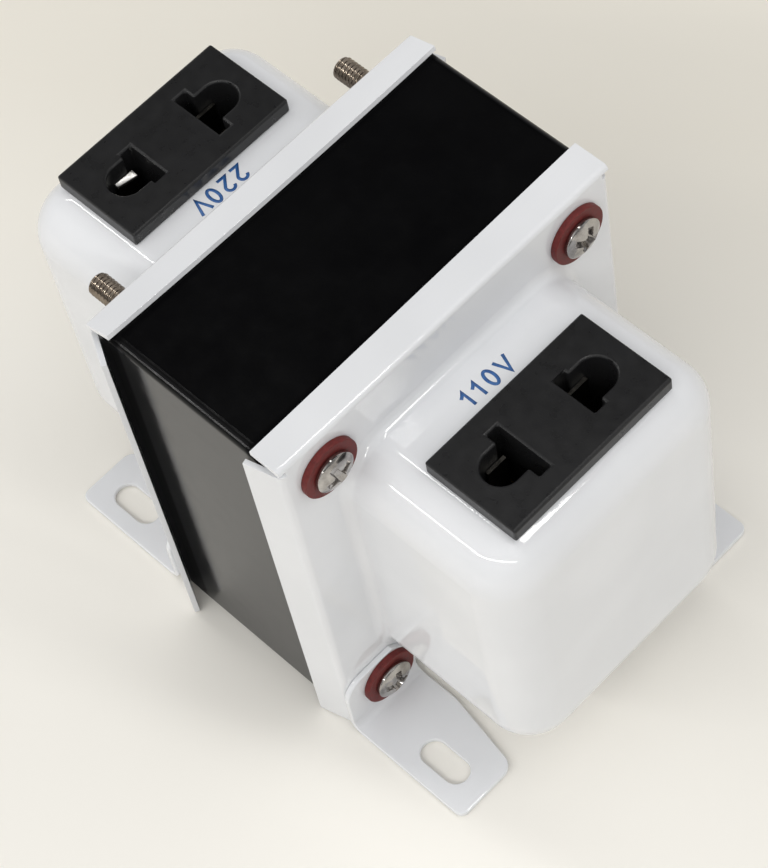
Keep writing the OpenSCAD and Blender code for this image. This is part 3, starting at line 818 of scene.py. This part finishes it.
def recess_cutter(name, turn):
    """A tapered cross that sinks into a head's crown."""
    bm = bmesh.new()
    rings = []
    levels = ((-RECESS_RIM, RECESS_REACH + RECESS_SLOPE, RECESS_HALF_W + RECESS_RIM_WIDER),
              (RECESS_RIM, RECESS_REACH - RECESS_SLOPE, RECESS_HALF_W),
              (RECESS_DEPTH, RECESS_END_REACH, RECESS_HALF_W * RECESS_END_SHARE))
    for depth, reach, half in levels:
        root = half * RECESS_ROOT_SHARE
        quarter = [(reach, -half), (reach, half), (root, half), (half, root)]
        cross = []
        for q in range(4):
            spin = Matrix.Rotation(math.radians(90 * q + turn), 2)
            cross += [spin @ Vector(p) for p in quarter]
        rings.append([(HEAD_H - depth, p.x, p.y) for p in cross])
    cap_ends(bm, loft(bm, rings))
    return mesh_object(name, bm)


def shank_rings():
    """The shank, plain and then threaded to its rounded tip, as rings of points."""
    plain_end = -(BOLT_L - THREAD_L)
    rows = int(THREAD_L / THREAD_PITCH * THREAD_ROWS)
    rings = [ring_round(x, BOLT_D / 2, BOLT_STEPS) for x in (0, plain_end)]
    for row in range(1, rows + 1):
        depth_in = THREAD_L * row / rows
        crest = min(1, (THREAD_L - depth_in) / BOLT_TIP_L)
        limit = BOLT_D / 2 - BOLT_TIP_DROP * (1 - crest) ** 2
        ring = []
        for k in range(BOLT_STEPS):
            a = 2 * math.pi * k / BOLT_STEPS
            phase = (depth_in / THREAD_PITCH + k / BOLT_STEPS) % 1
            groove = THREAD_DEPTH * (1 - abs(2 * phase - 1)) * min(1, depth_in / THREAD_PITCH)
            radius = min(BOLT_D / 2 - groove, limit)
            ring.append((plain_end - depth_in, radius * math.cos(a), radius * math.sin(a)))
        rings.append(ring)
    return rings


def make_bolt(y_side, z_side, head_x):
    """One closed bolt: the head with its recess, welded to the shank at the bearing face."""
    bm = bmesh.new()
    cap_ends(bm, loft(bm, [ring_round(x, r, BOLT_STEPS) for x, r in head_profile()]))
    side = "left" if y_side < 0 else "right"
    name = "bolt_%s_%s" % (side, "top" if z_side > 0 else "bottom")
    piece = mesh_object(name, bm)
    cut_by(piece, recess_cutter(name + "_cutter", RECESS_TURNS[(y_side, z_side)]))
    bm = bmesh.new()
    bm.from_mesh(piece.data)
    bmesh.ops.scale(bm, vec=(1 / MM,) * 3, verts=bm.verts)
    seat = [f for f in bm.faces if max(abs(v.co.x) for v in f.verts) < WELD
            and max(v.co.yz.length for v in f.verts) < BOLT_D / 2 + WELD]
    bmesh.ops.delete(bm, geom=seat, context="FACES_ONLY")
    shank = loft(bm, shank_rings())
    bm.faces.new(shank[-1])
    bmesh.ops.remove_doubles(bm, verts=bm.verts, dist=WELD)
    bmesh.ops.recalc_face_normals(bm, faces=bm.faces)
    place = (head_x, y_side * BOLT_Y, CORE_Z + z_side * BOLT_Z)
    bmesh.ops.translate(bm, vec=place, verts=bm.verts)
    bpy.data.objects.remove(piece)
    piece = mesh_object(name, bm)
    soften(piece, BOLT_EDGE_R, BOLT_EDGE_ANGLE, BOLT_EDGE_STEPS)
    return piece


def make_bolts():
    """Four bolts; the heads of the bottom ones also clamp the feet."""
    pieces = []
    for y_side in (-1, 1):
        pieces.append(make_bolt(y_side, 1, FLANGE_X + WASHER_T))
        pieces.append(make_bolt(y_side, -1, FLANGE_X + WASHER_T + FOOT_T))
    for piece in pieces:
        finish_piece(piece, "plated_steel", node="bolts")


# Voltage marks
def glyph(sign, left):
    """A sign's line as (across, up) points, starting at left, and whether it closes on itself."""
    top = MARK_H
    if sign == "1":
        stem = left + ONE_STEM
        drop, across, bend = ONE_FLAG
        return [(left, top - drop), (left + across, top - bend), (stem, top - ONE_TOP_GAP),
                (stem, 0)], False
    if sign == "0":
        turns = [2 * math.pi * k / ZERO_STEPS for k in range(ZERO_STEPS)]
        middle = left + ZERO_MIDDLE
        return [(middle + ZERO_HALF_W * math.cos(a), top / 2 + top / 2 * math.sin(a))
                for a in turns], True
    if sign == "2":
        bow = arc(left + TWO_R, top - TWO_R, TWO_R, *TWO_BOW, TWO_STEPS)
        return bow + [(left + TWO_FOOT, TWO_FOOT), (left + TWO_W, 0)], False
    return [(left, top), (left + V_HALF_W, 0), (left + 2 * V_HALF_W, top)], False


def sides_of(points, closed):
    """The two sides of a line of the marks' width, mitred at its corners."""
    half = MARK_STROKE / 2
    count = len(points)
    line = [Vector(p) for p in points]
    left_side, right_side = [], []
    for k, point in enumerate(line):
        before = line[(k - 1) % count] if closed or k else None
        after = line[(k + 1) % count] if closed or k < count - 1 else None
        into = (point - before).normalized() if before else (after - point).normalized()
        out = (after - point).normalized() if after else into
        across = Vector((-into.y - out.y, into.x + out.x)).normalized()
        reach = half / max(MARK_LEAST_MITRE, across.dot(Vector((-into.y, into.x))))
        left_side.append(point + reach * across)
        right_side.append(point - reach * across)
    return left_side, right_side


def add_stroke(bm, points, closed):
    """A thin raised ribbon of ink along a line."""
    left_side, right_side = sides_of(points, closed)
    rings = []
    for a, b in zip(left_side, right_side):
        rings.append([(*a, 0), (*a, MARK_RAISE), (*b, MARK_RAISE), (*b, 0)])
    if closed:
        rings.append(rings[0])
    made = loft(bm, rings)
    if not closed:
        bm.faces.new(made[0])
        bm.faces.new(reversed(made[-1]))


def make_mark(name, signs, lefts, base_x, turn):
    """A voltage mark on top of a dome; its signs stand with their tops towards the core."""
    bm = bmesh.new()
    for sign, left in zip(signs, lefts):
        add_stroke(bm, *glyph(sign, left))
    bmesh.ops.remove_doubles(bm, verts=bm.verts, dist=FINE_WELD)
    bmesh.ops.recalc_face_normals(bm, faces=bm.faces)
    lay = Matrix(((0, -1, 0, base_x),
                  (1, 0, 0, 0),
                  (0, 0, 1, CORE_Z + DOME_Z),
                  (0, 0, 0, 1)))
    bmesh.ops.transform(bm, matrix=Matrix.Rotation(turn, 4, "Z") @ lay, verts=bm.verts)
    piece = mesh_object(name, bm)
    finish_piece(piece, "white_enamel", material="blue_ink")


# Contact tip
def make_contact_tip():
    """The bent tip of a contact's leaf, which shows in the hole of the rear outlet."""
    low, high = span("rear_left_contact")
    wall = -OUTLET_X - TIP_OUT
    top = high.z + TIP_RISE
    foot = high.z - TIP_SUNK
    shoulder = top - TIP_SLOPE
    along_x, along_z = TIP_CHAMFER
    places = steps_between(low.y + TIP_SIDE_GAP, high.y - TIP_SIDE_GAP, TIP_STEPS)
    widths = steps_between(*TIP_T, TIP_STEPS)
    rings = []
    for y, width in zip(places, widths):
        inner = wall + width
        side = [(wall, foot), (inner, foot), (inner, shoulder),
                (inner - along_x, shoulder + along_z), (wall + along_x, top), (wall, top)]
        rings.append([(x, y, z) for x, z in side])
    bm = bmesh.new()
    cap_ends(bm, loft(bm, rings))
    piece = mesh_object("rear_left_contact_tip", bm)
    soften(piece, TIP_EDGE_R, TIP_EDGE_ANGLE)
    # The tip takes the bright copy of the contact metal, a painted glint
    finish_piece(piece, "contact_brass", material="contact_metal_painted_glint")


# Kept nodes
def dress_node(name, slot):
    """Gives a node its material, clean flat faces and soft edges."""
    node = NODES[name]
    node.data.materials.clear()
    node.data.materials.append(MATERIALS[slot])
    weld = node.modifiers.new("weld", "WELD")
    weld.merge_threshold = FINE_WELD * MM
    flat = node.modifiers.new("flat", "DECIMATE")
    flat.decimate_type = "DISSOLVE"
    flat.angle_limit = math.radians(FLAT_ANGLE)
    if name in EDGE_RADIUS:
        round_edges(node, EDGE_RADIUS[name], SOFT_ANGLE, clamp=slot != "outlet_plastic")
    even_shading(node)


# Stage
def make_floor():
    """A wide pale floor just under the feet, painted paler towards +X and -Y as painted light."""
    material, tree, shader = new_material("floor")
    # Painted light: the floor's tone grows paler towards +X and -Y
    colour = ramp(tree, along(tree, FLOOR_PAINTED_LIGHT_RISE), FLOOR_TONES)
    tree.links.new(colour, shader.inputs["Base Color"])
    cloud = noise(tree, 0.02, 2)
    tree.links.new(spread(tree, cloud, 0.55, 0.65), shader.inputs["Roughness"])
    bm = bmesh.new()
    bmesh.ops.create_grid(bm, x_segments=FLOOR_CELLS, y_segments=FLOOR_CELLS, size=FLOOR_HALF)
    floor = mesh_object("floor", bm)
    floor.location.z = -FLOOR_DROP * MM
    floor.data.materials.append(material)


def make_tube(name, middle, heading, length, brightness):
    """A long lamp under the ceiling; its middle is in ceiling heights, its heading in degrees."""
    data = bpy.data.lights.new(name, "AREA")
    data.shape = "RECTANGLE"
    data.size = length * CEILING_H * MM
    data.size_y = TUBE_W * MM
    data.energy = brightness * math.pi * data.size * data.size_y
    data.color = LAMP_COLOUR
    tube = bpy.data.objects.new(name, data)
    tube.location = Vector((middle[0], middle[1], 1)) * CEILING_H * MM
    tube.rotation_euler = (0, 0, math.radians(heading))
    bpy.context.scene.collection.objects.link(tube)


def make_light():
    """A bright room with one dark side overhead, and two long ceiling lamps."""
    world = bpy.data.worlds.new("studio")
    world.use_nodes = True
    tree = world.node_tree
    coords = tree.nodes.new("ShaderNodeTexCoord")
    closeness = tree.nodes.new("ShaderNodeVectorMath")
    closeness.operation = "DOT_PRODUCT"
    closeness.inputs[1].default_value = ROOM_DARK_SIDE
    tree.links.new(coords.outputs["Generated"], closeness.inputs[0])
    share = tree.nodes.new("ShaderNodeMath")
    share.operation = "MULTIPLY_ADD"
    share.inputs[1].default_value = 0.5
    share.inputs[2].default_value = 0.5
    tree.links.new(closeness.outputs["Value"], share.inputs[0])
    tone = ramp(tree, share.outputs["Value"], ROOM_TONES)
    tree.links.new(tone, tree.nodes["Background"].inputs["Color"])
    tree.nodes["Background"].inputs["Strength"].default_value = ROOM_LIGHT
    bpy.context.scene.world = world
    for name, values in LAMPS.items():
        make_tube(name, *values)


def make_camera():
    """A camera fitted to the photograph's view."""
    data = bpy.data.cameras.new("camera")
    data.sensor_fit = "VERTICAL"
    data.sensor_height = SENSOR
    data.lens = FOCAL_PX * SENSOR / FRAME_H
    data.clip_start = CAMERA_NEAR * MM
    camera = bpy.data.objects.new("camera", data)
    turn = Matrix.Rotation(math.radians(CAMERA_AZIMUTH), 4, "Z")
    tilt = Matrix.Rotation(math.radians(90 - CAMERA_ELEVATION), 4, "X")
    roll = Matrix.Rotation(math.radians(CAMERA_ROLL), 4, "Z")
    camera.matrix_world = Matrix.Translation(CAMERA_PLACE * MM) @ turn @ tilt @ roll
    bpy.context.scene.collection.objects.link(camera)
    bpy.context.scene.camera = camera


make_camera()
make_light()
make_floor()
make_bell("front_bell", 0, 0, FRONT_TOP_R, FRONT_BOW, FRONT_RIGHT_SLANT)
make_bell("rear_bell", math.pi, REAR_TOP_LEAN, REAR_TOP_R, REAR_BOW, 0)
make_shade_lap("front_shade_lap", 0)
make_shade_lap("rear_shade_lap", math.pi)
make_bolts()
make_contact_tip()
make_mark("mark_110", "110V", MARK_110_LEFTS, MARK_110_X, 0)
make_mark("mark_220", "220V", MARK_220_LEFTS, MARK_220_X, math.pi)
for name, slot in KEPT_NODES.items():
    dress_node(name, slot)

bpy.context.scene.view_settings.view_transform = "Standard"
